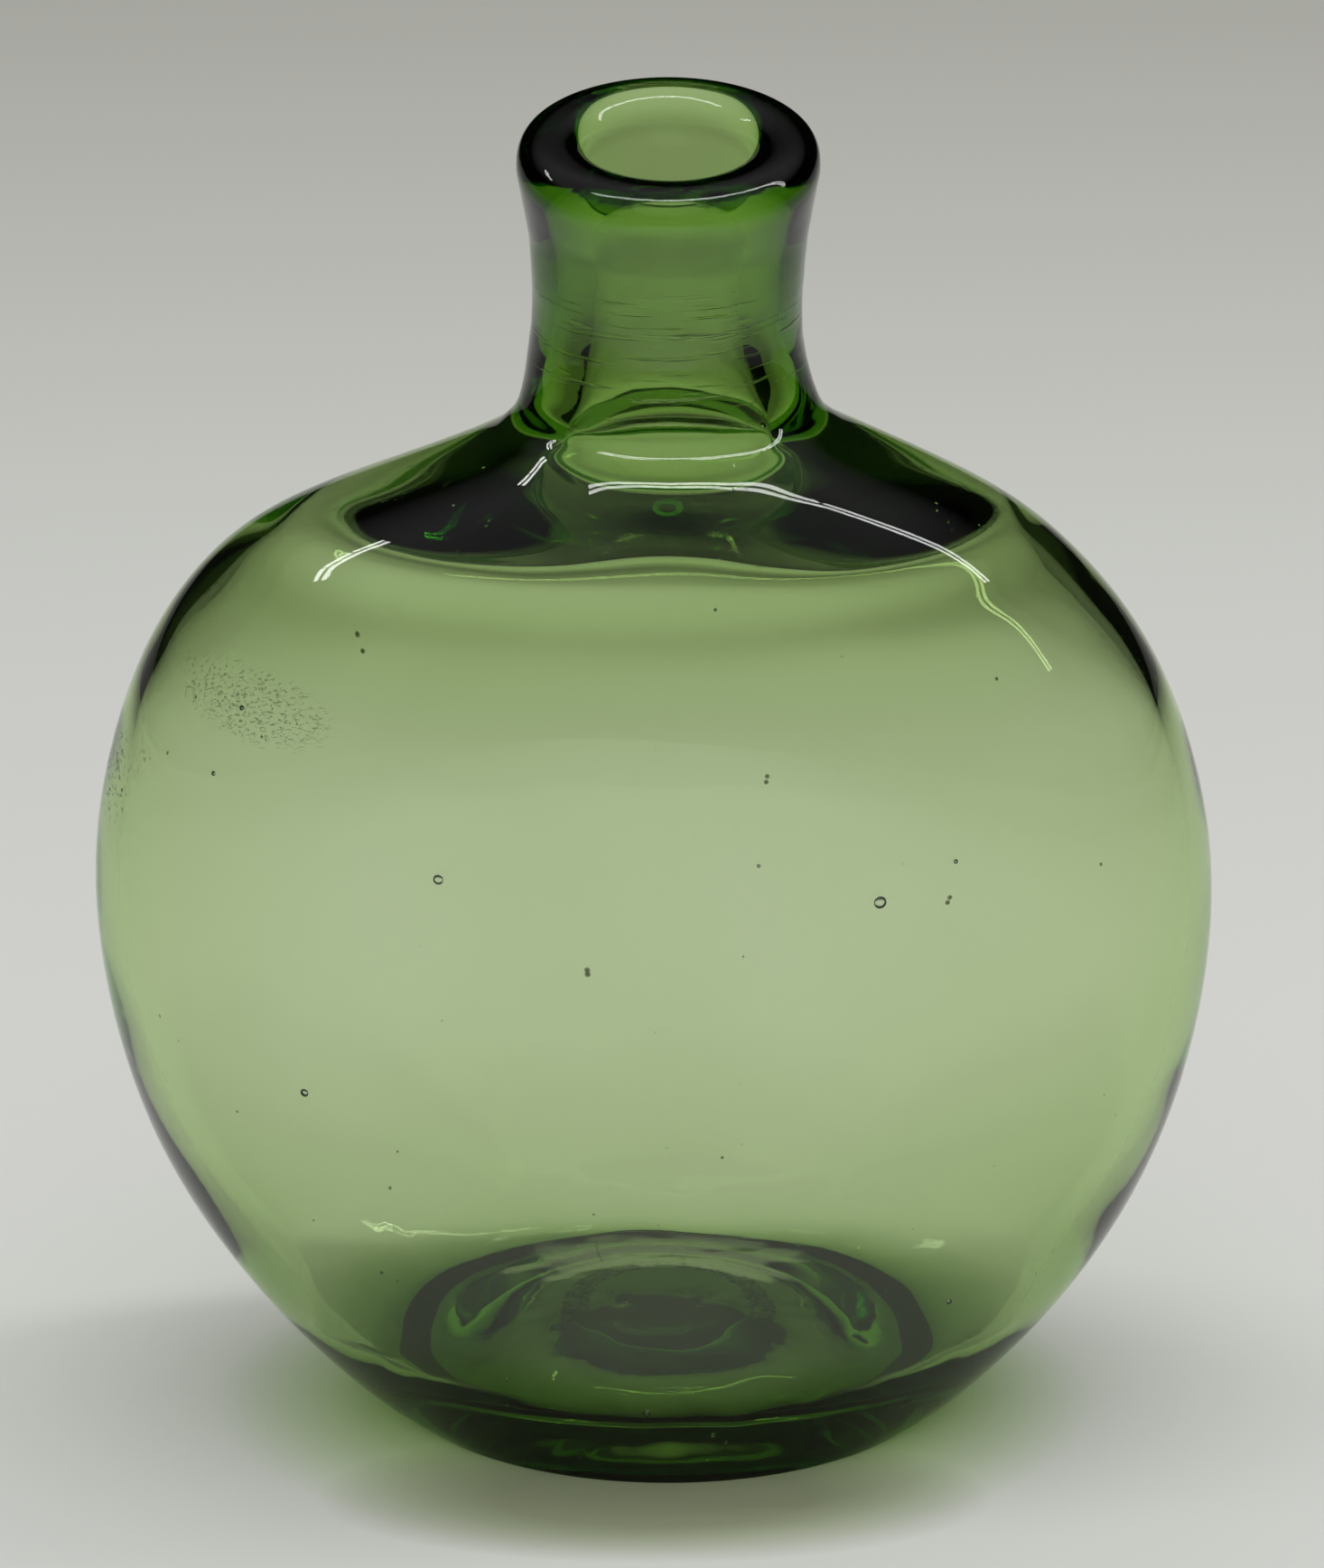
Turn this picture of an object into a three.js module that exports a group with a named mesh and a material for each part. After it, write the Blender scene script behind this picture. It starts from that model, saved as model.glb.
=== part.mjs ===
// A free-blown green glass pocket bottle: a round kicked-up foot, a wide flattened body, a short
// thick neck and a sheared, fire-rounded lip. Millimetres, +Z up, front face towards -Y.
//
// The whole bottle follows one form: level oval sections, each with its own width and depth,
// joined by a smooth curve. Width and depth change at different rates, so the body goes from a
// round foot through a flat oval belly to a round neck. The hollow is the same form moved inwards
// by a wall that is thick at the foot and neck and thin at the belly.

import * as THREE from 'three';

// Driving sizes

// Sections of the outside, from the foot up. Each is a level ellipse. rise is the height above the
// section before, drift and lean are how far its hand-worked centre has wandered to the side and
// to the back, and wall is square to the surface.
const FOOT = { rise: 0, width: 54.6, depth: 53.8, drift: 1.3, lean: 0, wall: 5.5 };
const HEEL = { rise: 2, width: 62.2, depth: 53.8, drift: 1.2, lean: 0, wall: 4.5 };
const LOW_BELLY = { rise: 10, width: 82.4, depth: 57.2, drift: 1, lean: 0, wall: 2.8 };
const FLANK = { rise: 16, width: 101.3, depth: 58, drift: 0.4, lean: 0, wall: 1.9 };
const BELLY = { rise: 24, width: 110.4, depth: 61.9, drift: 0, lean: 0, wall: 1.6 };
const BREAST = { rise: 18, width: 103.6, depth: 61.6, drift: -0.3, lean: 0.2, wall: 1.8 };
const HIGH_SHOULDER = { rise: 10, width: 93.9, depth: 59.3, drift: -0.7, lean: 0.2, wall: 2.6 };
const SHOULDER_TURN = { rise: 7, width: 81.8, depth: 55.1, drift: -0.8, lean: -0.2, wall: 3.7 };
const CROWN = { rise: 4, width: 70.4, depth: 48.7, drift: 0.3, lean: -1.6, wall: 4.8 };
const SLOPE = { rise: 3, width: 58.8, depth: 43, drift: 1.4, lean: -2.6, wall: 5.4 };
const RIDGE = { rise: 3, width: 44.8, depth: 38.8, drift: 2.1, lean: -2.9, wall: 4.7 };
const NECK_ROOT = { rise: 2, width: 36.2, depth: 35.4, drift: 1.9, lean: -2.7, wall: 4.1 };
const CREASE = { rise: 1.5, width: 32.2, depth: 31.6, drift: 1.6, lean: -2.4, wall: 4.3 };
const THROAT = { rise: 1.5, width: 29.2, depth: 28.2, drift: 1.5, lean: -1.2, wall: 5.3 };
const NECK = { rise: 5.5, width: 26.6, depth: 26.1, drift: 1.2, lean: -0.2, wall: 5.9 };
const WAIST = { rise: 4.5, width: 25.9, depth: 25.7, drift: 1.3, lean: 0, wall: 6.2 };
const COLLAR = { rise: 7, width: 26.9, depth: 26.8, drift: 1.4, lean: 0, wall: 6.4 };

// The lip: a thick rim, arched over the top, cut off at a slant that faces the drinker.
// Roundness 1 is an arch as round as a hoop, and less is flatter on top with tighter edges.
const LIP_DIAMETER = 29.2;
const LIP_WIDEST_RISE = 6.5;
const LIP_CROWN_RISE = 3.3;
const LIP_ROUNDNESS = 0.72;
const MOUTH_DIAMETER = 15.6;
const LIP_SLANT_DEGREES = 9;

// The foot: a level worn band to stand on, round a kick that was pushed up while soft.
const REST_BAND = 3.4;
const KICK_DEPTH = 4;
const KICK_SEAT_DIAMETER = 23;
const FLOOR_THICKNESS = 5;
const FLOOR_EDGE_DIAMETER = 44;
const FLOOR_EDGE_HEIGHT = 5;

// The scar: a broken ring of glass that the iron rod left on the kick.
const SCAR_DIAMETER = 20.6;
const SCAR_RING_WIDTH = 2.2;
const SCAR_HEIGHT = 0.9;
const SCAR_RAGGEDNESS = 0.3;

const GLASS = { color: 0x6f8f3c, roughness: 0.06, metalness: 0 };
const THICK_GLASS = { color: 0x4f6b2a, roughness: 0.06, metalness: 0 };
const SCAR_GLASS = { color: 0x5a6b48, roughness: 0.45, metalness: 0 };

// Facets: steps round each oval, and levels between one section and the next.
const STEPS_ROUND = 48;
const LEVELS_PER_SECTION = 3;
const LIP_ARCH_STEPS = 9;
const KICK_STEPS = 4;
const BOWL_STEPS = 7;
const DOME_STEPS = 4;

// A short way along the form, to read off which way the hollow's wall runs.
const NUDGE_ALONG = 0.01;

// The form

const SECTIONS = [
  FOOT, HEEL, LOW_BELLY, FLANK, BELLY, BREAST, HIGH_SHOULDER,
  SHOULDER_TURN, CROWN, SLOPE, RIDGE, NECK_ROOT,
  CREASE, THROAT, NECK, WAIST, COLLAR,
];

const heightOf = (section) => SECTIONS
  .slice(0, SECTIONS.indexOf(section) + 1)
  .reduce((height, { rise }) => height + rise, 0);

const outline = new THREE.CatmullRomCurve3(
  SECTIONS.map((s) => new THREE.Vector3(s.width / 2, s.depth / 2, heightOf(s))),
);
const handWork = new THREE.CatmullRomCurve3(
  SECTIONS.map((s) => new THREE.Vector3(s.drift, s.lean, 0)),
  false,
  'catmullrom',
);

/** Where a section lies along the form: 0 at the foot and 1 at the collar. */
const placeOf = (section) => SECTIONS.indexOf(section) / (SECTIONS.length - 1);

// A sloping wall is thicker measured level than square to itself, so its hollow is further in.
const hollowLine = new THREE.CatmullRomCurve3(SECTIONS.map((s) => {
  const slope = outline.getTangent(placeOf(s));
  return new THREE.Vector3(
    s.width / 2 - s.wall * Math.hypot(1, slope.x / slope.z),
    s.depth / 2 - s.wall * Math.hypot(1, slope.y / slope.z),
    heightOf(s),
  );
}));

/** The oval at a place along a line of the form, where 0 is the foot and 1 the collar. */
function ovalOn(line, along) {
  const { x: halfWidth, y: halfDepth, z: height } = line.getPoint(along);
  const { x: drift, y: lean } = handWork.getPoint(along);
  return { halfWidth, halfDepth, height, drift, lean };
}

const outerOval = (along) => ovalOn(outline, along);
const innerOval = (along) => ovalOn(hollowLine, along);

/** The places along the form from one named section up to another, both included. */
function placesBetween(lower, upper) {
  const first = SECTIONS.indexOf(lower);
  const levels = (SECTIONS.indexOf(upper) - first) * LEVELS_PER_SECTION;
  return Array.from(
    { length: levels + 1 },
    (_, level) => (first + level / LEVELS_PER_SECTION) / (SECTIONS.length - 1),
  );
}

// Rings and lofts

/** Points round an oval, anticlockwise from above. lift raises a point by its front-back place. */
function ring({ halfWidth, halfDepth, height, drift, lean }, lift = () => 0) {
  return Array.from({ length: STEPS_ROUND }, (_, step) => {
    const angle = (2 * Math.PI * step) / STEPS_ROUND;
    const back = lean + halfDepth * Math.sin(angle);
    return [drift + halfWidth * Math.cos(angle), back, height + lift(back)];
  });
}

const tip = ({ height, drift, lean }) => [[drift, lean, height]];

/**
 * Joins rings that run round a wall's cross-section: up the outside, over, and down the inside.
 * An open run starts and ends in a tip on the axis; a closed one comes back to its first ring.
 */
function loft(rings, { closed }) {
  const firstOf = [];
  const positions = [];
  for (const points of rings) {
    firstOf.push(positions.length / 3);
    positions.push(...points.flat());
  }
  const index = [];
  const pairs = closed ? rings.length : rings.length - 1;
  for (let lower = 0; lower < pairs; lower += 1) {
    const upper = (lower + 1) % rings.length;
    for (let step = 0; step < STEPS_ROUND; step += 1) {
      const next = (step + 1) % STEPS_ROUND;
      const at = (which, place) => firstOf[which] + (rings[which].length > 1 ? place : 0);
      if (rings[lower].length > 1) index.push(at(lower, step), at(lower, next), at(upper, next));
      if (rings[upper].length > 1) index.push(at(lower, step), at(upper, next), at(upper, step));
    }
  }
  const geometry = new THREE.BufferGeometry();
  geometry.setAttribute('position', new THREE.Float32BufferAttribute(positions, 3));
  geometry.setIndex(index);
  geometry.computeVertexNormals();
  return geometry;
}

/** A sleeve of the form: the outside from lower to upper, then the hollow back down again. */
function sleeve(lower, upper) {
  const places = placesBetween(lower, upper);
  const outside = places.map((along) => ring(outerOval(along)));
  const inside = places.map((along) => ring(innerOval(along))).reverse();
  return loft([...outside, ...inside], { closed: true });
}

// The pieces

/** The bowl of the foot: kick, rest band, heel, then the hollow's floor with its low dome. */
function baseGeometry() {
  const bottom = outerOval(placeOf(FOOT));
  const rim = innerOval(placeOf(LOW_BELLY));
  const seat = KICK_SEAT_DIAMETER / 2;

  const kick = Array.from({ length: KICK_STEPS + 1 }, (_, step) => {
    const out = step / KICK_STEPS;
    return ring({
      ...bottom,
      halfWidth: THREE.MathUtils.lerp(seat, bottom.halfWidth - REST_BAND, out),
      halfDepth: THREE.MathUtils.lerp(seat, bottom.halfDepth - REST_BAND, out),
      height: (KICK_DEPTH * (1 + Math.cos(Math.PI * out))) / 2,
    });
  });
  const heel = placesBetween(FOOT, LOW_BELLY).map((along) => ring(outerOval(along)));

  // The bowl leaves the wall above it without a crease, and ends level at a round floor edge.
  const above = innerOval(placeOf(LOW_BELLY) + NUDGE_ALONG);
  const floorEdge = FLOOR_EDGE_DIAMETER / 2;
  const share = (rim.height - FLOOR_EDGE_HEIGHT) / (above.height - rim.height);
  const bowlLine = new THREE.QuadraticBezierCurve3(
    new THREE.Vector3(rim.halfWidth, rim.halfDepth, rim.height),
    new THREE.Vector3(
      rim.halfWidth - (above.halfWidth - rim.halfWidth) * share,
      rim.halfDepth - (above.halfDepth - rim.halfDepth) * share,
      FLOOR_EDGE_HEIGHT,
    ),
    new THREE.Vector3(floorEdge, floorEdge, FLOOR_EDGE_HEIGHT),
  );
  const bowl = bowlLine.getPoints(BOWL_STEPS).map(({ x: halfWidth, y: halfDepth, z: height }) => (
    ring({ ...rim, halfWidth, halfDepth, height })
  ));

  const domeRise = KICK_DEPTH + FLOOR_THICKNESS - FLOOR_EDGE_HEIGHT;
  const dome = Array.from({ length: DOME_STEPS - 1 }, (_, step) => {
    const out = 1 - (step + 1) / DOME_STEPS;
    return ring({
      ...rim,
      halfWidth: floorEdge * out,
      halfDepth: floorEdge * out,
      height: FLOOR_EDGE_HEIGHT + (domeRise * (1 + Math.cos(Math.PI * out))) / 2,
    });
  });

  const kickTop = tip({ ...bottom, height: KICK_DEPTH });
  const domeTop = tip({ ...rim, height: KICK_DEPTH + FLOOR_THICKNESS });
  return loft([kickTop, ...kick, ...heel, ...bowl, ...dome, domeTop], { closed: false });
}

/** The lip: the collar swells, arches over the cut and rounds into the mouth. */
function lipGeometry() {
  const below = outerOval(placeOf(COLLAR));
  const bore = innerOval(placeOf(COLLAR));
  const widest = below.height + LIP_WIDEST_RISE;
  const middle = (LIP_DIAMETER + MOUTH_DIAMETER) / 4;
  const reach = (LIP_DIAMETER - MOUTH_DIAMETER) / 4;
  const slant = Math.tan(THREE.MathUtils.degToRad(LIP_SLANT_DEGREES));
  const soften = (share) => Math.sign(share) * Math.abs(share) ** LIP_ROUNDNESS;

  const slantedRing = (halfWidth, halfDepth, height) => {
    const share = THREE.MathUtils.smoothstep(height, below.height, widest);
    return ring({ ...below, halfWidth, halfDepth, height }, (back) => back * slant * share);
  };
  const swell = (from, to, share) => [
    THREE.MathUtils.lerp(from.halfWidth, to, share),
    THREE.MathUtils.lerp(from.halfDepth, to, share),
    THREE.MathUtils.lerp(below.height, widest, share),
  ];

  const shares = [0, 0.35, 0.7];
  const outside = shares.map((share) => slantedRing(...swell(below, LIP_DIAMETER / 2, share)));
  const arch = Array.from({ length: LIP_ARCH_STEPS + 1 }, (_, step) => {
    const angle = (Math.PI * step) / LIP_ARCH_STEPS;
    const radius = middle + reach * soften(Math.cos(angle));
    return slantedRing(radius, radius, widest + LIP_CROWN_RISE * soften(Math.sin(angle)));
  });
  const mouth = shares
    .map((share) => slantedRing(...swell(bore, MOUTH_DIAMETER / 2, share)))
    .reverse();
  return loft([...outside, ...arch, ...mouth], { closed: true });
}

/** The pontil scar: a ragged ring whose level top lies on the kick's seat. */
function scarGeometry() {
  const outer = SCAR_DIAMETER / 2;
  const inner = outer - SCAR_RING_WIDTH;
  const { drift, lean } = outerOval(placeOf(FOOT));
  const ragged = (angle) => SCAR_RAGGEDNESS * (Math.sin(5 * angle) + 0.6 * Math.sin(9 * angle + 1.3));

  const scarRing = (radius, drop) => Array.from({ length: STEPS_ROUND }, (_, step) => {
    const angle = (2 * Math.PI * step) / STEPS_ROUND;
    const reach = radius + ragged(angle);
    const height = KICK_DEPTH - drop * (1 + ragged(angle + 2));
    return [drift + reach * Math.cos(angle), lean + reach * Math.sin(angle), height];
  });
  const edge = SCAR_RING_WIDTH / 4;
  return loft([
    scarRing(inner, 0),
    scarRing(inner + edge, SCAR_HEIGHT),
    scarRing(outer - edge, SCAR_HEIGHT),
    scarRing(outer, 0),
  ], { closed: true });
}

// Assembly

function piece(name, geometry, finish) {
  const mesh = new THREE.Mesh(geometry, new THREE.MeshStandardMaterial(finish));
  mesh.name = name;
  return mesh;
}

const bottle = new THREE.Group();
bottle.name = 'pocket_bottle';
bottle.add(
  piece('pontil_scar', scarGeometry(), SCAR_GLASS),
  piece('base', baseGeometry(), THICK_GLASS),
  piece('body', sleeve(LOW_BELLY, HIGH_SHOULDER), GLASS),
  piece('shoulder', sleeve(HIGH_SHOULDER, THROAT), GLASS),
  piece('neck', sleeve(THROAT, COLLAR), THICK_GLASS),
  piece('lip', lipGeometry(), THICK_GLASS),
);

export default bottle;
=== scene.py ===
# %% [markdown]
# # A free-blown green glass pocket bottle
#
# One bottle of olive-green glass stands on a pale table under rows of ceiling tube lamps. It is a
# single mass of glass, so its look comes from three things: a true outside and a true hollow,
# glass that darkens with depth, and a room worth bending light from. The cells below make them in
# that order. Sizes are in millimetres where the bottle is shaped, because glass is measured so,
# and meshes are made in metres. +Z is up and the front is towards -Y.

import math
import random

import bmesh
import bpy
import numpy as np
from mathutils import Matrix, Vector, noise
from mathutils.bvhtree import BVHTree


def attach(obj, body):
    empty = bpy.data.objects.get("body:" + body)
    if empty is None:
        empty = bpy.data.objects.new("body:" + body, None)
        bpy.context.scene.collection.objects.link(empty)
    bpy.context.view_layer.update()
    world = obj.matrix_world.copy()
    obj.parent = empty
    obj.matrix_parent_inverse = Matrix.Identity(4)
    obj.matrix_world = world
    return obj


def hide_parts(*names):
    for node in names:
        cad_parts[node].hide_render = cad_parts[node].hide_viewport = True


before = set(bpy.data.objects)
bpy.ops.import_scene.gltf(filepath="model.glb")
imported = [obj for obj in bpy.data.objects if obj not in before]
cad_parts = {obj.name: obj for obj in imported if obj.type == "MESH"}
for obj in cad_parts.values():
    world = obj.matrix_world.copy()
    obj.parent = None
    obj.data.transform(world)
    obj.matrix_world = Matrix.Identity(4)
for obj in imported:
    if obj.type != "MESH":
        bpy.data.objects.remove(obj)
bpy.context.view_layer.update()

# %% [markdown]
# ## The sections
#
# The glassworker turned a round gather into a flat-sided bottle, so a lathe can't make it: width
# and depth change at their own rates. The form is a row of level ellipses, foot to collar, the
# same ones that the solids use. Drift and lean are how far each one's centre has wandered to the
# side and to the back, which is what makes one shoulder fuller than the other.

# %% The sections of the outside, in millimetres
# height, width, depth, drift, lean
OUTSIDE_SECTIONS = [
    (0, 54.6, 53.8, 1.3, 0),
    (2, 62.2, 53.8, 1.2, 0),
    (12, 82.4, 57.2, 1, 0),
    (28, 101.3, 58, 0.4, 0),
    (52, 110.4, 61.9, 0, 0),
    (70, 103.6, 61.6, -0.3, 0.2),
    (80, 93.9, 59.3, -0.7, 0.2),
    (87, 81.8, 55.1, -0.8, -0.2),
    (91, 70.4, 48.7, 0.3, -1.6),
    (94, 58.8, 43, 1.4, -2.6),
    (97, 44.8, 38.8, 2.1, -2.9),
    (99, 36.2, 35.4, 1.9, -2.7),
    (100.5, 32.2, 31.6, 1.6, -2.4),
    (102, 29.2, 28.2, 1.5, -1.2),
    (107.5, 26.6, 26.1, 1.2, -0.2),
    (112, 25.9, 25.7, 1.3, 0),
    (119, 26.9, 26.8, 1.4, 0),
]
HOLLOW_SECTIONS = [
    (12, 75.2, 51.2, 1, 0),
    (28, 96.7, 54.5, 0.4, 0),
    (52, 106, 58.3, 0, 0),
    (70, 99.8, 57.8, -0.3, 0.2),
    (76, 93.4, 56, -0.5, 0.2),
    (80, 87.6, 53.6, -0.7, 0.2),
    (84, 80, 50.6, -0.7, 0.1),
    (87, 72.4, 46.8, -0.5, -0.1),
    (89.4, 66, 44.4, 0, -0.3),
    (90.6, 56.5, 42.2, 0.5, -0.6),
    (91.7, 45.6, 39.6, 1, -0.8),
    (93, 35.2, 35.8, 1.4, -1),
    (94.5, 27.6, 30.6, 1.5, -1),
    (96, 23, 24.6, 1.5, -0.8),
    (97.8, 20.2, 19.8, 1.5, -0.5),
    (100, 19, 18, 1.5, -0.4),
    (102, 17.4, 16.6, 1.5, -0.4),
    (107.5, 14.8, 14.2, 1.2, -0.1),
    (112, 13.6, 13.4, 1.3, 0),
    (119, 14.1, 13.9, 1.4, 0),
]
LIP_WIDEST_HEIGHT = 125.5
LIP_CROWN_RISE = 3.2
LIP_DIAMETER = 29.2
MOUTH_DIAMETER = 15.6
LIP_ROUNDNESS = 0.72
LIP_SLANT = math.tan(math.radians(9))
REST_BAND = 3.4
KICK_DEPTH = 4.0
KICK_SEAT_DIAMETER = 23.0
FLOOR_EDGE_DIAMETER = 44.0
FLOOR_EDGE_HEIGHT = 5.0
FLOOR_THICKNESS = 5.0
print(len(OUTSIDE_SECTIONS), "sections,", OUTSIDE_SECTIONS[-1][0], "mm from foot to collar")

# %% [markdown]
# The hollow's table is the visual's own. Near its top it is nearly as deep as it is wide, or deeper,
# for the sake of the dark wedge on each side: the photograph doesn't show its inside there.
#
# The sections are joined by a smooth curve through all of them. It is stepped closely, and then
# evened out a little, because an eye that misses a small kink in the outline never misses it in
# the reflection of a lamp.

# %% A smooth curve through the sections
STEPS_ROUND = 188
LEVELS_PER_SPAN = 10
EVENING_REACH = 3.5


def through(points, per_span):
    """A smooth curve through rows of numbers, closely stepped, with its first three as the place."""
    rows = np.asarray(points, float)
    rows = np.vstack([2 * rows[0] - rows[1], rows, 2 * rows[-1] - rows[-2]])
    made = []
    for before, start, end, after in zip(rows, rows[1:], rows[2:], rows[3:]):
        gap = [np.linalg.norm((b - a)[:3]) ** 0.5 for a, b in ((before, start), (start, end), (end, after))]
        t = np.cumsum([0, *gap])
        for u in np.linspace(t[1], t[2], per_span, endpoint=False):
            a1 = (before * (t[1] - u) + start * (u - t[0])) / gap[0]
            a2 = (start * (t[2] - u) + end * (u - t[1])) / gap[1]
            a3 = (end * (t[3] - u) + after * (u - t[2])) / gap[2]
            b1 = (a1 * (t[2] - u) + a2 * (u - t[0])) / (gap[0] + gap[1])
            b2 = (a2 * (t[3] - u) + a3 * (u - t[1])) / (gap[1] + gap[2])
            made.append((b1 * (t[2] - u) + b2 * (u - t[1])) / gap[1])
    return np.vstack([made, rows[-2]])


def soften(rows, reach):
    """Evens out a curve's small changes of bend, with its two ends left where they are."""
    steps = np.arange(-round(4 * reach), round(4 * reach) + 1)
    weights = np.exp(-0.5 * (steps / reach) ** 2)
    weights /= weights.sum()
    pad = len(weights) // 2
    head = 2 * rows[0] - rows[pad:0:-1]
    tail = 2 * rows[-1] - rows[-2:-pad - 2:-1]
    extended = np.vstack([head, rows, tail])
    columns = [np.convolve(extended[:, k], weights, mode="valid") for k in range(rows.shape[1])]
    even = np.stack(columns, 1)
    even[0], even[-1] = rows[0], rows[-1]
    return even


def line_of(sections):
    """Columns of a profile: half width, half depth, height, drift, lean."""
    halves = [(width / 2, depth / 2, height, drift, lean) for height, width, depth, drift, lean in sections]
    return soften(through(halves, LEVELS_PER_SPAN), EVENING_REACH)


levels = line_of(OUTSIDE_SECTIONS)
hollow = line_of(HOLLOW_SECTIONS)
print(len(levels), "levels outside and", len(hollow), "in the hollow")

# %% [markdown]
# ## The vessel
#
# Outside and hollow are one closed skin, as on the real bottle. It starts in the middle of the
# kick under the foot, runs out over the ring that the bottle stands on, up the outside, over the
# lip, down the hollow and in to the middle of the floor. The hollow has its own sections, because
# the wall is thin at the belly and swells to a thick wedge where the shoulder meets the neck. That
# wedge bends the view up to the dark ceiling, and so the shoulders look nearly black.

# %% Rings from under the foot to the floor of the hollow
foot, collar, rim = levels[0], levels[-1], hollow[0]
rim_slope = (hollow[2, :2] - rim[:2]) / (hollow[2, 2] - rim[2])


def smoothstep(value, low, high):
    share = np.clip((value - low) / (high - low), 0, 1)
    return share * share * (3 - 2 * share)


def rings_of_kick():
    """From the kick's middle out to the ring that the bottle stands on."""
    seat = KICK_SEAT_DIAMETER / 2
    for share in np.linspace(0.04, 1, 16):
        yield seat * share, seat * share, KICK_DEPTH, foot[3], foot[4]
    for out in np.linspace(0, 1, 20)[1:]:
        half_width = seat + out * (foot[0] - REST_BAND - seat)
        half_depth = seat + out * (foot[1] - REST_BAND - seat)
        yield half_width, half_depth, KICK_DEPTH * (1 + math.cos(math.pi * out)) / 2, foot[3], foot[4]
    for out in (0.4, 0.75):
        yield foot[0] - REST_BAND * (1 - out), foot[1] - REST_BAND * (1 - out), 0, foot[3], foot[4]


def rings_of_lip():
    """The swelling under the lip, the arch over it, and the way down into the mouth."""
    full = lambda share: math.copysign(abs(share) ** LIP_ROUNDNESS, share)
    middle = (LIP_DIAMETER + MOUTH_DIAMETER) / 4
    reach = (LIP_DIAMETER - MOUTH_DIAMETER) / 4

    def swell(start, diameter, share):
        half_width, half_depth, height = start[:3]
        return (
            half_width + (diameter / 2 - half_width) * share,
            half_depth + (diameter / 2 - half_depth) * share,
            height + (LIP_WIDEST_HEIGHT - height) * share,
            collar[3],
            collar[4],
        )

    shares = [0.15, 0.3, 0.45, 0.6, 0.75, 0.9]
    yield from (swell(collar, LIP_DIAMETER, share) for share in shares)
    for angle in np.linspace(0, math.pi, 34):
        radius = middle + reach * full(math.cos(angle))
        height = LIP_WIDEST_HEIGHT + LIP_CROWN_RISE * full(math.sin(angle))
        yield radius, radius, height, collar[3], collar[4]
    yield from (swell(hollow[-1], MOUTH_DIAMETER, share) for share in reversed(shares))


def rings_of_floor():
    """The bowl of the hollow curves in from the rim to a round floor edge, then over a low dome."""
    edge = FLOOR_EDGE_DIAMETER / 2
    fall = rim[2] - FLOOR_EDGE_HEIGHT
    corner = rim[:2] - rim_slope * fall
    for share in np.linspace(0, 1, 34)[1:]:
        half = (1 - share) ** 2 * rim[:2] + 2 * share * (1 - share) * corner + share ** 2 * edge
        yield *half, FLOOR_EDGE_HEIGHT + fall * (1 - share) ** 2, rim[3], rim[4]
    dome = KICK_DEPTH + FLOOR_THICKNESS - FLOOR_EDGE_HEIGHT
    for out in np.linspace(1, 0.03, 28)[1:]:
        height = FLOOR_EDGE_HEIGHT + dome * (1 + math.cos(math.pi * out)) / 2
        yield edge * out, edge * out, height, rim[3], rim[4]


outside = [*rings_of_kick(), *levels]
lip_rings = list(rings_of_lip())
inside = [*hollow[::-1], *rings_of_floor()]
profile = np.array([*outside, *lip_rings, *inside])
hollow_from = len(outside) + len(lip_rings) // 2
print(len(profile), "rings of", STEPS_ROUND, "points")

# %% [markdown]
# Hand-blown glass is never quite even. Each point moves a few hundredths of a millimetre along its
# own direction, by slow noise: long soft waves outside, and stronger ones in the hollow, which no
# tool ever touched. Where the foot was heated again and pushed up, the floor went pebbly. The neck
# was rolled on steel bars, which left shallow marks round it. The level ring stays flat.

# %% The vessel's points, with the unevenness of hand work
turn = np.linspace(0, 2 * math.pi, STEPS_ROUND, endpoint=False)
half_width, half_depth, height, drift, lean = (profile[:, k:k + 1] for k in range(5))
points = np.stack(np.broadcast_arrays(
    drift + half_width * np.cos(turn),
    lean + half_depth * np.sin(turn),
    height + 0 * turn,
), axis=2).copy()
points[:, :, 2] += points[:, :, 1] * LIP_SLANT * smoothstep(height, 119, LIP_WIDEST_HEIGHT)

along = np.gradient(points, axis=0)
around = np.roll(points, -1, 1) - np.roll(points, 1, 1)
facing = np.cross(around, along)
facing /= np.linalg.norm(facing, axis=2, keepdims=True) + 1e-12

# depth and length of each wave in mm, and where in the noise it starts
OUTSIDE_WAVES = ((0.06, 26.0, 11), (0.015, 9.0, 12))
NECK_WAVES = ((0.035, 5.0, 31), (0.012, 2.2, 32))
HOLLOW_WAVES = ((0.16, 22.0, 21), (0.05, 8.0, 22))
FLOOR_WAVES = ((0.13, 5.0, 41), (0.05, 2.4, 42))
KICK_WAVES = ((0.10, 4.0, 51), (0.04, 1.7, 52))


def wave(place, waves):
    return sum(deep * noise.noise(place / long + Vector((seed, 0, 0))) for deep, long, seed in waves)


def push_at(ring, place):
    """How far a point moves out of the glass, in millimetres."""
    level = profile[ring, 2]
    if ring > hollow_from:
        pebbly = 1 - smoothstep(level, 7, 19)
        return wave(place, HOLLOW_WAVES) + (pebbly * wave(place, FLOOR_WAVES) if pebbly > 0 else 0)
    if ring < len(outside) - len(levels):
        return min(wave(place, KICK_WAVES), 0.0) * smoothstep(level, 0.1, 2.5)
    neck = smoothstep(level, 101, 106) * (1 - smoothstep(level, 121, 126))
    flat = Vector((place.x, place.y, 2.6 * place.z))
    rolled = neck * wave(flat, NECK_WAVES) if neck > 0 else 0
    return smoothstep(level, 0.3, 5) * (wave(place, OUTSIDE_WAVES) + rolled)


for ring, row in enumerate(points):
    for step in range(STEPS_ROUND):
        row[step] += facing[ring, step] * push_at(ring, Vector(row[step]))
print("belly, mm:", np.round(np.ptp(points[:, :, 0]), 2), "by", np.round(np.ptp(points[:, :, 1]), 2))

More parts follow.
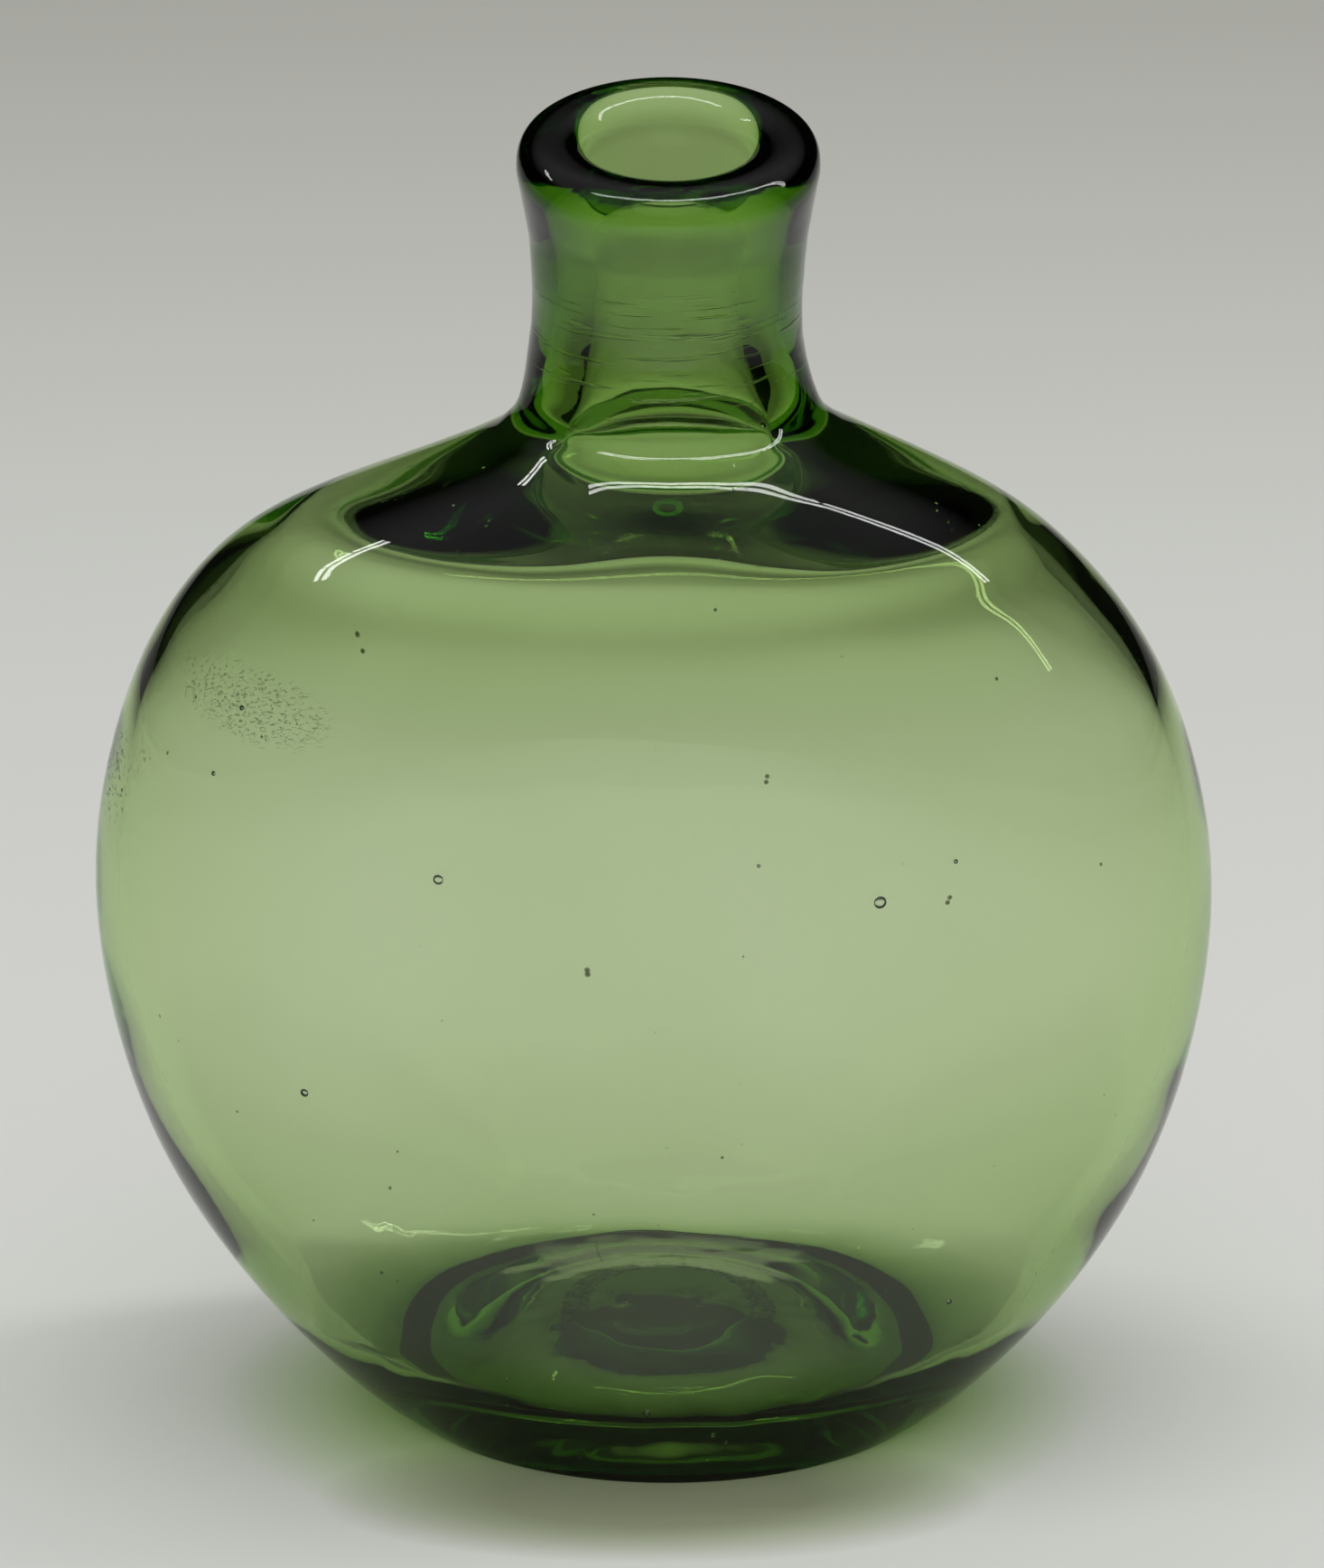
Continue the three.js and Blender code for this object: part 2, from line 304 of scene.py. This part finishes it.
# %% The vessel's mesh
def mesh_object(name, corners, sides, smooth=True):
    """A mesh from corners in millimetres, placed at the origin."""
    data = bpy.data.meshes.new(name)
    data.from_pydata([tuple(c / 1000 for c in corner) for corner in corners], [], sides)
    data.polygons.foreach_set("use_smooth", [smooth] * len(data.polygons))
    data.update()
    made = bpy.data.objects.new(name, data)
    bpy.context.scene.collection.objects.link(made)
    return made


def loft_sides(rings, steps):
    """The faces of a skin that starts in one point, runs through its rings and ends in one point."""
    last = rings * steps + 1
    sides = [(0, 1 + (k + 1) % steps, 1 + k) for k in range(steps)]
    for ring in range(rings - 1):
        low, high = 1 + ring * steps, 1 + (ring + 1) * steps
        sides += [(low + k, low + (k + 1) % steps, high + (k + 1) % steps, high + k) for k in range(steps)]
    top = 1 + (rings - 1) * steps
    return sides + [(top + k, top + (k + 1) % steps, last) for k in range(steps)]


under_middle = (foot[3], foot[4], KICK_DEPTH)
floor_middle = (rim[3], rim[4], profile[-1, 2])
corners = [under_middle, *points.reshape(-1, 3), floor_middle]
vessel = mesh_object("vessel", corners, loft_sides(len(profile), STEPS_ROUND))
print("vessel:", len(vessel.data.vertices), "vertices,", len(vessel.data.polygons), "faces")

# %% [markdown]
# ## Writing shader maths as sentences
#
# A material's sums read better as Python than as a web of nodes. A `Value` stands for one socket,
# and adding, multiplying or comparing it puts the Math node in for us. Every other node comes from
# one method, which takes its type, its settings, and what goes into its sockets.

# %% Values and nodes
class Value:
    """A number that varies over a surface."""

    def __init__(self, tree, socket):
        self.tree, self.socket = tree, socket

    def maths(self, operation, *inputs, clamp=False):
        made = self.tree.nodes.new("ShaderNodeMath")
        made.operation, made.use_clamp = operation, clamp
        for slot, value in zip(made.inputs, inputs):
            if isinstance(value, Value):
                self.tree.links.new(value.socket, slot)
            else:
                slot.default_value = value
        return Value(self.tree, made.outputs[0])

    def __add__(self, other): return self.maths("ADD", self, other)
    def __radd__(self, other): return self.maths("ADD", other, self)
    def __sub__(self, other): return self.maths("SUBTRACT", self, other)
    def __rsub__(self, other): return self.maths("SUBTRACT", other, self)
    def __mul__(self, other): return self.maths("MULTIPLY", self, other)
    def __truediv__(self, other): return self.maths("DIVIDE", self, other)
    def __abs__(self): return self.maths("ABSOLUTE", self)
    def clamped(self): return self.maths("ADD", self, 0.0, clamp=True)

    def rises(self, low, high):
        """0 below low, 1 above high, and a straight way between them."""
        return ((self - low) / (high - low)).clamped()


class Nodes:
    """One material's nodes, made with one method."""

    def __init__(self, tree):
        self.tree = tree
        self.tree.nodes.clear()

    def node(self, kind, settings=None, values=None):
        made = self.tree.nodes.new(kind)
        for name, value in (settings or {}).items():
            setattr(made, name, value)
        for name, value in (values or {}).items():
            if isinstance(value, Value):
                self.tree.links.new(value.socket, made.inputs[name])
            elif isinstance(value, bpy.types.NodeSocket):
                self.tree.links.new(value, made.inputs[name])
            else:
                made.inputs[name].default_value = value
        return made

    def value(self, made, output=0):
        return Value(self.tree, made.outputs[output])

    def place(self):
        """The surface's place in metres, and its three parts."""
        at = self.node("ShaderNodeTexCoord").outputs["Object"]
        parts = self.node("ShaderNodeSeparateXYZ", values={"Vector": at})
        return at, *(self.value(parts, axis) for axis in range(3))

    def grain(self, at, scale, detail=2.0, stretch=(1, 1, 1)):
        """Noise from 0 to 1 whose lumps are about 1 / scale metres."""
        moved = self.node("ShaderNodeMapping", values={"Vector": at, "Scale": stretch})
        made = self.node("ShaderNodeTexNoise", values={
            "Vector": moved.outputs[0],
            "Scale": scale,
            "Detail": detail,
        })
        return self.value(made, "Fac")

    def mix(self, share, first, second):
        """One colour passing into another as the share goes from 0 to 1."""
        made = self.node("ShaderNodeMix", {"data_type": "RGBA"}, {0: share, 6: first, 7: second})
        return made.outputs[2]

    def absorbing(self, surface):
        """Finishes a glass: a surface round a volume that darkens with depth."""
        volume = self.node("ShaderNodeVolumeAbsorption", values={
            "Color": ABSORPTION_COLOUR,
            "Density": ABSORPTION_DENSITY,
        })
        self.node("ShaderNodeOutputMaterial", values={
            "Surface": surface.outputs[0],
            "Volume": volume.outputs[0],
        })


def between(value, start, end):
    """1 between two edges, each given by where it begins and ends."""
    return value.rises(*start) * (1 - value.rises(*end))


def oval(across, along, middle, reach):
    """0 in the middle of an oval and 1 at its edge. The reach is given as squares, in square metres."""
    aside, ahead = across - middle[0], along - middle[1]
    return aside * aside / reach[0] + ahead * ahead / reach[1]


def material(name):
    made = bpy.data.materials.new(name)
    made.use_nodes = True
    return made, Nodes(made.node_tree)


print("shader helpers ready")

# %% [markdown]
# ## Glass
#
# The green is not paint. Light loses red and blue on its way through the glass, so thin walls are
# pale and the thick neck and foot are dark. That is a clear refracting surface round a volume that
# absorbs, and no colour on the surface itself. The surface is fire-polished, but two centuries of
# handling left a scuffed patch on one shoulder and fine lines round the neck. They are too small
# for the mesh, so they are bumps.

# %% The green glass
GLASS_IOR = 1.52
ABSORPTION_DENSITY = 250.0
ABSORPTION_COLOUR = (0.516, 0.728, 0.16, 1)
SPECK_COLOUR = 0.05, 0.05, 0.02
NECK_LINES_FROM, NECK_LINES_TO = (0.104, 0.106), (0.1145, 0.1165)
SCUFF_MIDDLE, SCUFF_REACH = (-0.0375, 0.0765), (6e-5, 1.2e-5)
CRUST_EDGE, CRUST_FROM, CRUST_TO = (0.0505, 0.0525), (0.0600, 0.0625), (0.0680, 0.0705)
BUMP_DEPTH = 0.00006
# across and up in metres, and radius
SPECKS = (
    (0.0281, 0.0601, 0.00030),
    (0.0107, 0.0735, 0.00028),
    (-0.0277, 0.0842, 0.00028),
    (-0.0063, 0.0544, 0.00036),
)

green_glass, glass = material("green_glass")
at, x, y, z = glass.place()
front = (0.0 - y).rises(0.0, 0.006)
neck_lines = glass.grain(at, 900.0, 3.0, (0.10, 0.10, 2.2)).rises(0.60, 0.72)
neck_lines = neck_lines * between(z, NECK_LINES_FROM, NECK_LINES_TO) * front
patch = 1 - oval(x, z, SCUFF_MIDDLE, SCUFF_REACH).rises(0.2, 1.0)
scuffs = glass.grain(at, 2400.0, 2.0, (0.3, 1.0, 1.5)).rises(0.60, 0.64) * patch * front
rubbed = glass.grain(at, 700.0, 4.0).rises(0.66, 0.78)
specks = sum(
    (1 - oval(x, z, (across, up), (radius ** 2, radius ** 2)).rises(0.3, 1.0)) * front
    for across, up, radius in SPECKS
)
crust = glass.grain(at, 1500.0, 3.0).rises(0.58, 0.66) * (0.0 - x).rises(*CRUST_EDGE)
crust = crust * between(z, CRUST_FROM, CRUST_TO)
stain = (specks + crust).clamped()
clear = glass.mix(stain, (1, 1, 1, 1), (*SPECK_COLOUR, 1))
bump = glass.node("ShaderNodeBump", values={
    "Strength": 1.0,
    "Distance": BUMP_DEPTH,
    "Height": neck_lines * 0.7 + scuffs * 0.8 + rubbed * 0.06,
})
surface = glass.node("ShaderNodeBsdfPrincipled", values={
    "Base Color": clear,
    "Roughness": (scuffs * 0.05 + neck_lines * 0.08 + stain * 0.3).clamped(),
    "IOR": GLASS_IOR,
    "Transmission Weight": 1.0,
    "Normal": bump.outputs[0],
})
glass.absorbing(surface)
vessel.data.materials.append(green_glass)
print("green glass:", len(green_glass.node_tree.nodes), "nodes")

# %% [markdown]
# ## Seeds
#
# Small bubbles that never rose out of the melt are called seeds. A seed is a hole in the glass, so
# its skin faces into the bubble: a little sphere turned inside out, sunk under the surface. They
# are scattered by a Geometry Nodes tree, because it can put a point anywhere on the vessel, sink
# it along the wall's own direction and give each one a size, all from a fixed seed number.

# %% A Geometry Nodes tree that scatters seeds
def seed_tree():
    tree = bpy.data.node_groups.new("scatter_seeds", "GeometryNodeTree")
    face = tree.interface
    face.new_socket("Geometry", in_out="INPUT", socket_type="NodeSocketGeometry")
    for name, kind, value in (
        ("Seeds per square metre", "NodeSocketFloat", 1600.0),
        ("Depth", "NodeSocketFloat", 0.0006),
        ("Smallest", "NodeSocketFloat", 0.00006),
        ("Largest", "NodeSocketFloat", 0.00026),
        ("Seed", "NodeSocketInt", 7),
        ("Glass", "NodeSocketMaterial", None),
    ):
        made = face.new_socket(name, in_out="INPUT", socket_type=kind)
        if value is not None:
            made.default_value = value
    face.new_socket("Geometry", in_out="OUTPUT", socket_type="NodeSocketGeometry")

    def node(kind, settings=None, **links):
        made = tree.nodes.new(kind)
        for key, value in (settings or {}).items():
            setattr(made, key, value)
        for key, value in links.items():
            slot = made.inputs[key.replace("_", " ")]
            if isinstance(value, bpy.types.NodeSocket):
                tree.links.new(value, slot)
            else:
                slot.default_value = value
        return made

    given = node("NodeGroupInput").outputs
    scattered = node(
        "GeometryNodeDistributePointsOnFaces",
        Mesh=given["Geometry"], Density=given["Seeds per square metre"], Seed=given["Seed"],
    )
    inward = node("ShaderNodeVectorMath", {"operation": "SCALE"})
    tree.links.new(scattered.outputs["Normal"], inward.inputs[0])
    minus = node("ShaderNodeMath", {"operation": "MULTIPLY"})
    tree.links.new(given["Depth"], minus.inputs[0])
    minus.inputs[1].default_value = -1.0
    tree.links.new(minus.outputs[0], inward.inputs["Scale"])
    sunk = node("GeometryNodeSetPosition", Geometry=scattered.outputs["Points"], Offset=inward.outputs[0])
    ball = node("GeometryNodeMeshIcoSphere", Radius=1.0, Subdivisions=2)
    shares = node("FunctionNodeRandomValue", {"data_type": "FLOAT"})
    tree.links.new(given["Seed"], shares.inputs["Seed"])
    biased = node("ShaderNodeMath", {"operation": "POWER"})
    tree.links.new(shares.outputs[1], biased.inputs[0])
    biased.inputs[1].default_value = 3.0
    sizes = node("ShaderNodeMapRange", Value=biased.outputs[0])
    tree.links.new(given["Smallest"], sizes.inputs["To Min"])
    tree.links.new(given["Largest"], sizes.inputs["To Max"])
    placed = node(
        "GeometryNodeInstanceOnPoints",
        Points=sunk.outputs[0], Instance=ball.outputs[0], Scale=sizes.outputs[0],
    )
    real = node("GeometryNodeRealizeInstances", Geometry=placed.outputs[0])
    turned = node("GeometryNodeFlipFaces", Mesh=real.outputs[0])
    smooth = node("GeometryNodeSetShadeSmooth", Geometry=turned.outputs[0])
    glazed = node("GeometryNodeSetMaterial", Geometry=smooth.outputs[0], Material=given["Glass"])
    node("NodeGroupOutput", Geometry=glazed.outputs[0])
    return tree


def grown(carrier, tree, inputs, name):
    """Runs a tree on a piece and gives the result as a plain mesh. The piece is left as it was."""
    modifier = carrier.modifiers.new(name, "NODES")
    modifier.node_group = tree
    for item in tree.interface.items_tree:
        if item.item_type == "SOCKET" and item.in_out == "INPUT" and item.name in inputs:
            modifier[item.identifier] = inputs[item.name]
    evaluated = carrier.evaluated_get(bpy.context.evaluated_depsgraph_get())
    made = bpy.data.meshes.new_from_object(evaluated)
    made.name = name
    carrier.modifiers.remove(modifier)
    return made


seeds = grown(vessel, seed_tree(), {"Glass": green_glass, "Seed": 7}, "seeds")
print("seeds:", len(seeds.polygons) // 80)

# %% [markdown]
# A few bubbles are big enough to know by sight. They are placed by where the photograph shows
# them, sent straight back from the camera onto the front wall, and sunk to its middle. A bubble in
# a thin wall was squeezed flat as the wall stretched.

# %% The bubbles that can be seen one by one
VIEW_DOWN = math.radians(20)
AIM = Vector((0.0008, 0, 0.06257))
# across and up from the middle of the picture in mm, radius, flatness
KNOWN_BUBBLES = (
    (20.9, -11.4, 0.62, 0.45),
    (-21.4, -9.2, 0.5, 0.45),
    (-34.6, -29.9, 0.42, 0.6),
    (-1.5, -61.2, 0.4, 0.8),
    (5.0, -63.4, 0.32, 0.8),
    (6.3, -64.2, 0.28, 0.8),
    (28.0, -50.4, 0.3, 0.8),
    (-24.4, 30.7, 0.26, 0.8),
    (-17.2, 30.5, 0.24, 0.8),
    (-20.0, 26.8, 0.2, 0.8),
    (9.8, 34.3, 0.3, 0.8),
    (-40.4, 7.3, 0.26, 0.8),
    (-43.2, 1.0, 0.24, 0.8),
)
skin = BVHTree.FromPolygons([v.co for v in vessel.data.vertices], [p.vertices for p in vessel.data.polygons])
look = Vector((0, math.cos(VIEW_DOWN), -math.sin(VIEW_DOWN)))
picture_up = Vector((0, math.sin(VIEW_DOWN), math.cos(VIEW_DOWN)))


def on_front(across, up):
    """The place and direction of the front wall, at a place in the picture given in mm."""
    start = AIM + Vector((across / 1000, 0, 0)) + picture_up * (up / 1000) - look * 0.3
    place, direction, *_ = skin.ray_cast(start, look)
    return place, direction


whole = bmesh.new()
whole.from_mesh(vessel.data)
whole.from_mesh(seeds)
for across, up, radius, flatness in KNOWN_BUBBLES:
    place, direction = on_front(across, up)
    turned = direction.to_track_quat("Z", "Y").to_matrix().to_4x4()
    ball = bmesh.ops.create_icosphere(whole, subdivisions=3, radius=radius / 1000)["verts"]
    for corner in ball:
        corner.co.z *= flatness
    bmesh.ops.transform(whole, matrix=turned, verts=ball)
    bmesh.ops.translate(whole, vec=place - direction * (0.0002 + radius * flatness / 1000), verts=ball)
    sides = list({side for corner in ball for side in corner.link_faces})
    bmesh.ops.reverse_faces(whole, faces=sides)
    for side in sides:
        side.smooth = True
whole.to_mesh(vessel.data)
whole.free()
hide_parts("base", "body", "shoulder", "neck", "lip")
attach(vessel, "root")
print("vessel with its bubbles:", sum(len(p.vertices) - 2 for p in vessel.data.polygons), "triangles")

# %% [markdown]
# ## The pontil scar
#
# While the lip was worked, the bottle was held by an iron rod stuck under the foot. When the rod
# was cracked off it left a ragged ring of broken glass in the kick. Broken glass is a crowd of
# small sharp faces, so this ring is flat-shaded, and each of its points has a height of its own.

# %% The broken ring under the foot
SCAR_DIAMETER = 20.6
SCAR_RING_WIDTH = 2.6
SCAR_HEIGHT = 0.85
SCAR_WANDER, SCAR_JITTER, SCAR_GAP = 0.5, 0.16, 0.06
chance = random.Random(5)
SCAR_STEPS, SCAR_ROWS = 110, 6
scar_corners = []
for row in range(SCAR_ROWS):
    share = row / (SCAR_ROWS - 1)
    for step in range(SCAR_STEPS):
        angle = 2 * math.pi * step / SCAR_STEPS
        across, back = math.cos(angle), math.sin(angle)
        wander = SCAR_WANDER * noise.noise(Vector((3 * across, 3 * back, 4)))
        radius = SCAR_DIAMETER / 2 - SCAR_RING_WIDTH * (1 - share) + wander
        radius += chance.uniform(-SCAR_JITTER, SCAR_JITTER)
        swell = abs(noise.noise(Vector((2.2 * across, 2.2 * back, share)))) * 2
        crest = math.sin(math.pi * share) * (0.25 + 0.75 * swell)
        drop = SCAR_HEIGHT * min(crest, 1.0) * chance.uniform(0.45, 1.0)
        place = foot[3] + radius * across, foot[4] + radius * back, KICK_DEPTH - SCAR_GAP - drop
        scar_corners.append(place)
scar_sides = []
for row in range(SCAR_ROWS - 1):
    for step in range(SCAR_STEPS):
        a, b = row * SCAR_STEPS + step, row * SCAR_STEPS + (step + 1) % SCAR_STEPS
        scar_sides += [(a, a + SCAR_STEPS, b + SCAR_STEPS), (a, b + SCAR_STEPS, b)]
lid = [(k, (SCAR_ROWS - 1) * SCAR_STEPS + k) for k in range(SCAR_STEPS)]
for k in range(SCAR_STEPS):
    (a, c), (b, d) = lid[k], lid[(k + 1) % SCAR_STEPS]
    scar_sides.append((a, b, d, c))
scar = mesh_object("pontil_scar_glass", scar_corners, scar_sides, smooth=False)
repair = bmesh.new()
repair.from_mesh(scar.data)
bmesh.ops.recalc_face_normals(repair, faces=repair.faces)
repair.to_mesh(scar.data)
repair.free()

broken_glass, broken = material("broken_glass")
at, *_ = broken.place()
dirt = broken.grain(at, 1400.0, 4.0).rises(0.5, 0.66)
soil = broken.mix(dirt, (0.8, 0.82, 0.74, 1), (0.42, 0.42, 0.26, 1))
worn = broken.node("ShaderNodeBump", values={
    "Strength": 0.6,
    "Distance": 0.0001,
    "Height": broken.grain(at, 2200.0, 4.0),
})
surface = broken.node("ShaderNodeBsdfPrincipled", values={
    "Base Color": soil,
    "Roughness": 0.12 + dirt * 0.4,
    "IOR": GLASS_IOR,
    "Transmission Weight": 1.0,
    "Normal": worn.outputs[0],
})
broken.absorbing(surface)
scar.data.materials.append(broken_glass)
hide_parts("pontil_scar")
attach(scar, "root")
print("pontil scar:", len(scar.data.polygons), "faces")

# %% [markdown]
# ## The table and the room
#
# A pale sheet lies under the bottle and fades a little towards the sides. Towards the back it darkens
# as painted shade, for the lamps' light that falls off there. The room beyond it is dark, and the
# black bands along the shoulders are that dark, bent through the glass.
# The room's own light reaches the bottle only by way of the sheet, so that it softens the shadow and
# leaves the reflections dark. Past the sheet's far edge the camera alone sees a grey background.
# Under the foot the sheet's colour has painted green light round the foot and a painted shadow in
# front of it, which stand for the light and shade that the glass throws on the table.

# %% The sheet that it stands on, with its far edge turned up
SHEET_FRONT, SHEET_BEND, BEND_RADIUS, SHEET_TOP = -1.4, 1.1, 0.03, 0.04
# how far back along the sheet in metres, and its colour there, darker to the back as painted shade
SHEET_STOPS = (
    (-0.10, (0.80, 0.81, 0.775)),
    (0.00, (0.80, 0.81, 0.775)),
    (0.10, (0.76, 0.76, 0.73)),
    (0.26, (0.66, 0.67, 0.63)),
    (0.37, (0.57, 0.57, 0.53)),
    (0.49, (0.47, 0.47, 0.43)),
    (1.20, (0.36, 0.36, 0.33)),
)
SHEET_SIDES = 0.16, 0.55
DESK_COLOUR = 0.24, 0.24, 0.22
SHEET_HALF_WIDTH = 1.2
# painted light and shade under the foot: a green pool of light round it and a shadow in front of it
PAINTED_GREEN_LIGHT_COLOUR, PAINTED_GREEN_LIGHT_MIDDLE, PAINTED_GREEN_LIGHT_REACH = (0.58, 0.72, 0.40), (0.0, -0.006), (0.0017, 0.0013)
PAINTED_SHADOW_COLOUR, PAINTED_SHADOW_MIDDLE, PAINTED_SHADOW_REACH = (0.36, 0.39, 0.26), (0.0, -0.030), (0.0009, 0.00022)
sweep = [(SHEET_FRONT, 0.0), (SHEET_BEND, 0.0)]
for angle in np.linspace(0, math.pi / 2, 24)[1:]:
    sweep.append((SHEET_BEND + BEND_RADIUS * math.sin(angle), BEND_RADIUS * (1 - math.cos(angle))))
sweep.append((SHEET_BEND + BEND_RADIUS, SHEET_TOP))
sides = -SHEET_HALF_WIDTH, SHEET_HALF_WIDTH
edges = [(1000 * side, 1000 * back, 1000 * up) for back, up in sweep for side in sides]
sheet_sides = [(2 * k, 2 * k + 1, 2 * k + 3, 2 * k + 2) for k in range(len(sweep) - 1)]
paper = mesh_object("pale_sheet", edges, sheet_sides)
pale_sheet, sheet = material("pale_sheet")
at, x, y, z = sheet.place()
first, last = SHEET_STOPS[0][0], SHEET_STOPS[-1][0]
ramp = sheet.node("ShaderNodeValToRGB", values={"Fac": (y + z).rises(first, last)})
stops = ramp.color_ramp.elements
for number, (back, colour) in enumerate(SHEET_STOPS):
    share = (back - first) / (last - first)
    stop = stops[number] if number < 2 else stops.new(share)
    stop.position = share
    stop.color = (*colour, 1)
# painted green light round the foot and painted shadow in front of it, mixed into the sheet's colour
painted_green_light = 1 - oval(x, y, PAINTED_GREEN_LIGHT_MIDDLE, PAINTED_GREEN_LIGHT_REACH).rises(0.45, 1.1)
painted_shadow = 1 - oval(x, y, PAINTED_SHADOW_MIDDLE, PAINTED_SHADOW_REACH).rises(0.25, 1.2)
colour = sheet.mix(abs(x).rises(*SHEET_SIDES), ramp.outputs[0], (*DESK_COLOUR, 1))
colour = sheet.mix(painted_green_light, colour, (*PAINTED_GREEN_LIGHT_COLOUR, 1))
colour = sheet.mix(painted_shadow, colour, (*PAINTED_SHADOW_COLOUR, 1))
matte = sheet.node("ShaderNodeBsdfDiffuse", values={"Color": colour})
sheet.node("ShaderNodeOutputMaterial", values={"Surface": matte.outputs[0]})
paper.data.materials.append(pale_sheet)
print("sheet:", [round(v, 2) for v in paper.dimensions])

# %% The room's own light, and its dark
ROOM_LIGHT = 0.62
ROOM_DARK = 0.004
CEILING_LIGHT = 0.24
CEILING_EDGE = 0.50, 0.75
BACKGROUND = 0.34
room = bpy.data.worlds.new("dark_room")
room.use_nodes = True
air = Nodes(room.node_tree)
path = air.node("ShaderNodeLightPath")
after_table = air.value(path, "Diffuse Depth").rises(0.0, 1.0)
outward = air.node("ShaderNodeTexCoord").outputs["Generated"]
towards = air.node("ShaderNodeSeparateXYZ", values={"Vector": outward})
ceiling = air.value(towards, 2).rises(*CEILING_EDGE) * CEILING_LIGHT
seen = air.value(path, "Is Camera Ray")
strength = ROOM_DARK + (1 - after_table) * ceiling + after_table * (ROOM_LIGHT - ROOM_DARK)
strength = strength * (1 - seen) + seen * BACKGROUND
glow = air.node("ShaderNodeBackground", values={"Color": (1, 1, 1, 1), "Strength": strength})
air.node("ShaderNodeOutputWorld", values={"Surface": glow.outputs[0]})
bpy.context.scene.world = room
print("room:", len(room.node_tree.nodes), "nodes, light", ROOM_LIGHT)

# %% [markdown]
# Two rows of twin tubes hang over the table, a metre up. Their reflections are the pale double
# lines that bow over the shoulder, and their light inside the wall makes the green lines below.

# %% The tube lamps
LAMP_HEIGHT = 1.0
TUBE_WIDTH = 0.034
TUBE_SPACING = 0.057
LAMP_BRIGHTNESS = 10.0


def tube(name, start, end, offset):
    """One long thin lamp that faces straight down, from start to end in metres across and back."""
    start, end = Vector((*start, LAMP_HEIGHT)), Vector((*end, LAMP_HEIGHT))
    long = (end - start).length
    aside = Vector((0, 0, 1)).cross((end - start).normalized()) * offset
    data = bpy.data.lights.new(name, "AREA")
    data.shape = "RECTANGLE"
    data.size, data.size_y = long, TUBE_WIDTH
    data.energy = LAMP_BRIGHTNESS * math.pi * long * TUBE_WIDTH
    made = bpy.data.objects.new(name, data)
    made.location = (start + end) / 2 + aside
    made.rotation_euler = (0, 0, math.atan2(end.y - start.y, end.x - start.x))
    bpy.context.scene.collection.objects.link(made)
    return made


LAMP_ROWS = {
    "left": ((-0.98, 0.37), (-0.86, 0.53), (-0.74, 0.60), (-0.655, 0.61)),
    "right": ((-0.43, 0.05), (0.0, 0.04), (0.28, 0.10), (0.58, 0.28), (1.06, 0.28), (1.62, 0.24)),
}
for side, corners in LAMP_ROWS.items():
    for number, (start, end) in enumerate(zip(corners, corners[1:])):
        for row, offset in (("front", -TUBE_SPACING / 2), ("back", TUBE_SPACING / 2)):
            tube(f"tube_{side}_{row}_{number}", start, end, offset)
print(sum(2 * len(corners) - 2 for corners in LAMP_ROWS.values()), "tubes")

# %% [markdown]
# ## The camera
#
# The photograph looks down at about 20 degrees from a good distance, so the view is long and flat.

# %% Camera
VIEW_DISTANCE = 1.15
PIXELS_PER_METRE = 11343
LONG_SIDE = 1736
camera_data = bpy.data.cameras.new("camera")
camera_data.sensor_width = 36
camera_data.lens = 36 * PIXELS_PER_METRE * VIEW_DISTANCE / LONG_SIDE
camera = bpy.data.objects.new("camera", camera_data)
camera.location = AIM - VIEW_DISTANCE * look
camera.rotation_euler = (math.pi / 2 - VIEW_DOWN, 0, 0)
bpy.context.scene.collection.objects.link(camera)
scene = bpy.context.scene
scene.camera = camera
scene.view_settings.view_transform = "Standard"
scene.cycles.max_bounces = 24
scene.cycles.transmission_bounces = 24
scene.cycles.glossy_bounces = 12
scene.cycles.transparent_max_bounces = 24
print("lens, mm:", round(camera_data.lens, 1))
